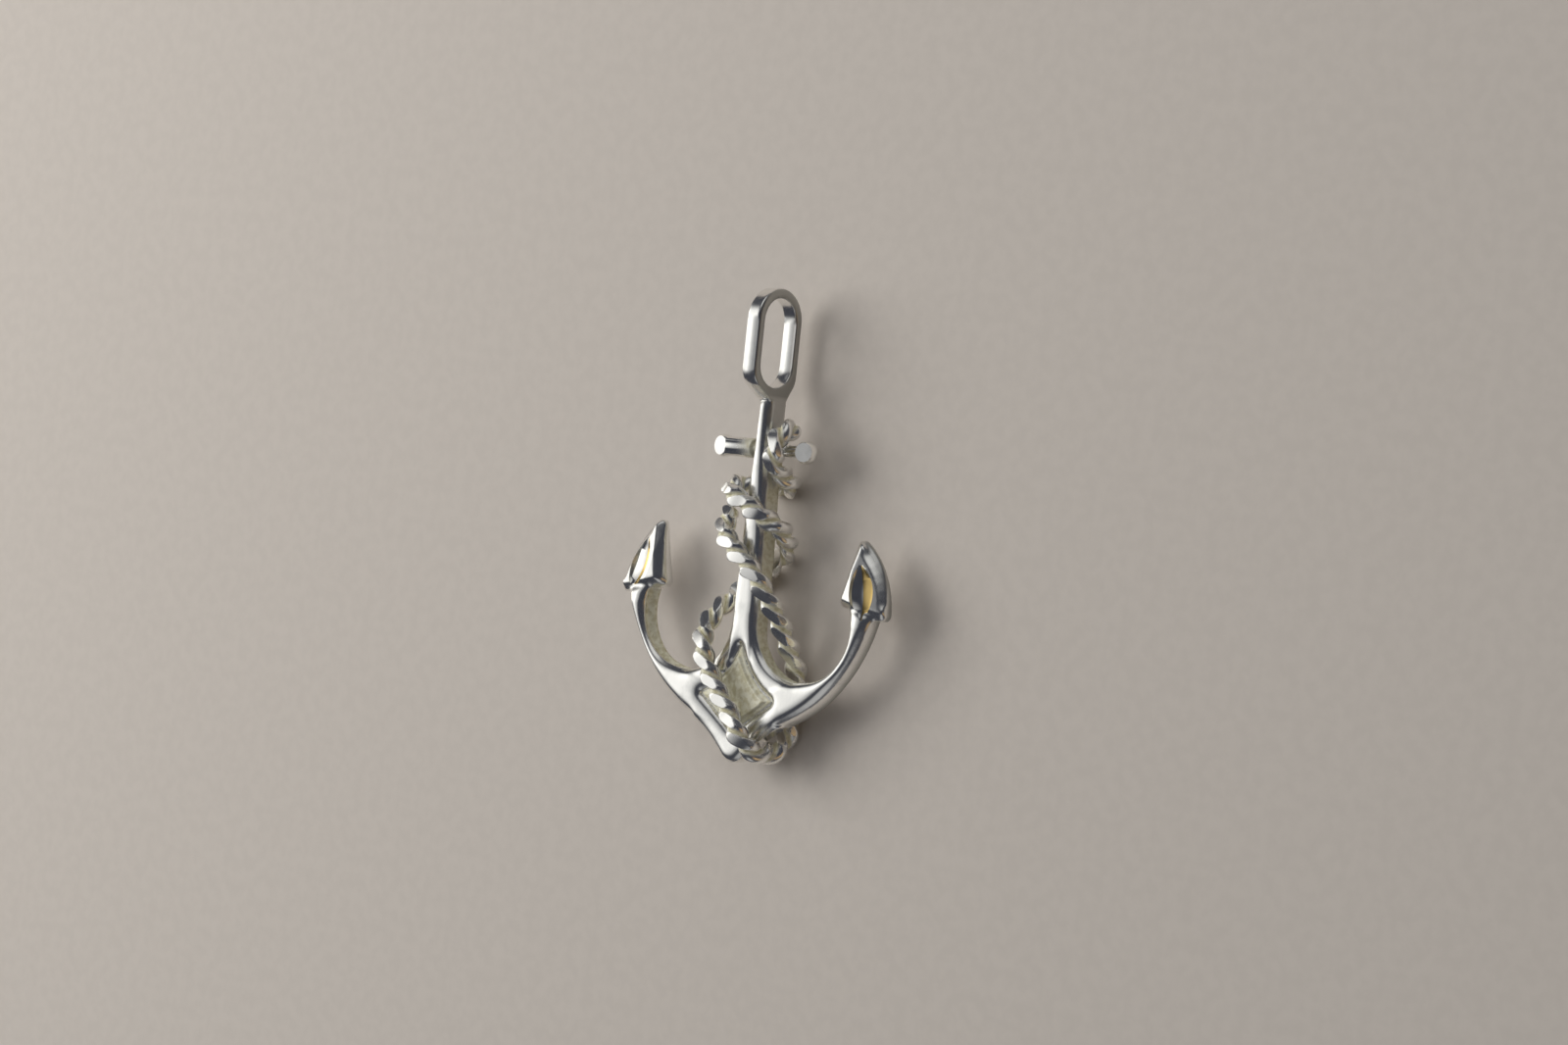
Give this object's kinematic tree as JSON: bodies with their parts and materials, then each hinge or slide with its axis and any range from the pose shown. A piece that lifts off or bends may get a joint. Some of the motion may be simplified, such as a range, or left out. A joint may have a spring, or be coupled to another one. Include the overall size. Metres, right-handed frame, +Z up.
{
  "type": "anchor pendant",
  "caption": "Cast anchor pendant with a fixed bail loop, two fluked arms, a stock bar through the shank and a twisted rope wound round it.",
  "frame": {"origin": "on the surface that the pendant lies on, under the middle of its box", "axes": "+Y along the shank from the crown to the bail, +Z up out of the pendant's front, +X to the viewer's right"},
  "size_m": [0.0266, 0.036, 0.0062],
  "materials": {
    "cast_silver": "cast silver, polished on the front crests, satin and slightly yellow in the recesses",
    "bar_silver": "polished silver with a mirror-cut flat on each end",
    "rope_silver": "as-cast yellowish silver with bright cut flats on the front bumps"
  },
  "bodies": {
    "root": {"anchor": "cast_silver", "stock_bar": "bar_silver", "rope": "rope_silver"}
  },
  "joints": []
}
